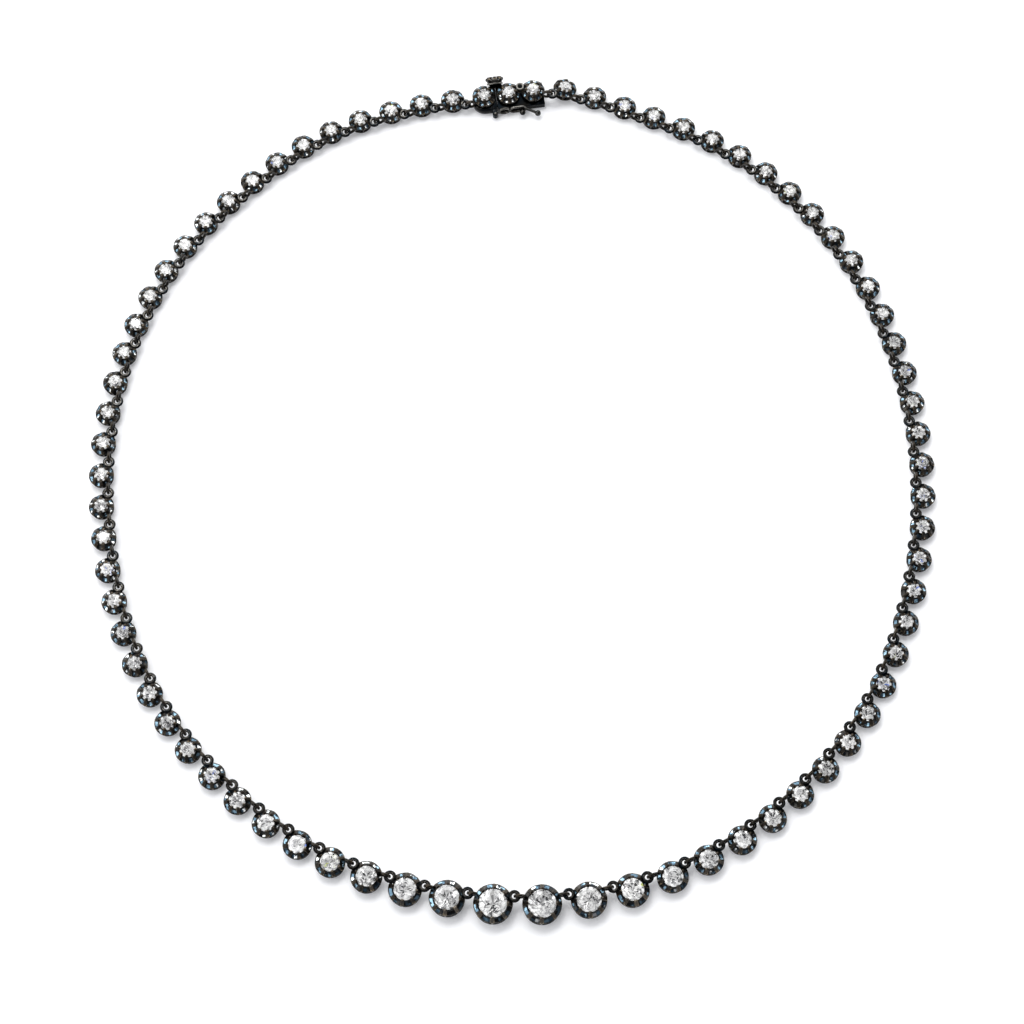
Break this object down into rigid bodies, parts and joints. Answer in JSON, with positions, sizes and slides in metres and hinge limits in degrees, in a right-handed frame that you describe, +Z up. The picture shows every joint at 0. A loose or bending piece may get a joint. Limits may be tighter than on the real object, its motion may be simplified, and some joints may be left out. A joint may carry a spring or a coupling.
{
  "type": "riviere necklace",
  "caption": "Riviere necklace of round stones in blackened cut-down settings, graduated to the front, lying as a closed loop with a box clasp and safety catch.",
  "frame": {"origin": "on the surface that the necklace lies on, below the middle of its whole outline", "axes": "+Z up from the surface; -Y towards the largest stones at the front; +Y towards the clasp; +X to the right of someone who looks from the front"},
  "size_m": [0.1334, 0.1429, 0.0031],
  "materials": {
    "metal": "blackened silver, satin with bright edges",
    "stone": "clear cut stone"
  },
  "bodies": {
    "necklace": {"setting_left_1": "metal", "setting_left_2": "metal", "setting_left_3": "metal", "setting_left_4": "metal", "setting_left_5": "metal", "setting_left_6": "metal", "setting_left_7": "metal", "setting_left_8": "metal", "setting_right_1": "metal", "setting_right_2": "metal", "setting_right_3": "metal", "setting_right_4": "metal", "setting_right_5": "metal", "setting_right_6": "metal", "setting_right_7": "metal", "setting_right_8": "metal", "stone_left_1": "stone", "stone_left_2": "stone", "stone_left_3": "stone", "stone_left_4": "stone", "stone_left_5": "stone", "stone_left_6": "stone", "stone_left_7": "stone", "stone_left_8": "stone", "stone_right_1": "stone", "stone_right_2": "stone", "stone_right_3": "stone", "stone_right_4": "stone", "stone_right_5": "stone", "stone_right_6": "stone", "stone_right_7": "stone", "stone_right_8": "stone", "settings_left": "metal", "settings_right": "metal", "stones_left": "stone", "stones_right": "stone", "clasp_box": "metal", "clasp_tongue": "metal", "stone_clasp_left": "stone", "stone_clasp_middle": "stone", "stone_clasp_right": "stone"},
    "safety_catch": {"safety_catch": "metal"},
    "push_button": {"push_piece": "metal", "stone_push_piece": "stone"}
  },
  "joints": [
    {"name": "catch_swing", "type": "hinge", "parent": "necklace", "child": "safety_catch", "pos_m": [-0.00275, 0.06414, 0.0009], "axis": [0, 0, -1], "range_deg": [0, 100]},
    {"name": "button_press", "type": "slide", "parent": "necklace", "child": "push_button", "axis": [0.1319, -0.9913, 0], "range_m": [0, 0.0002], "stiffness_N_per_m": 2000}
  ]
}
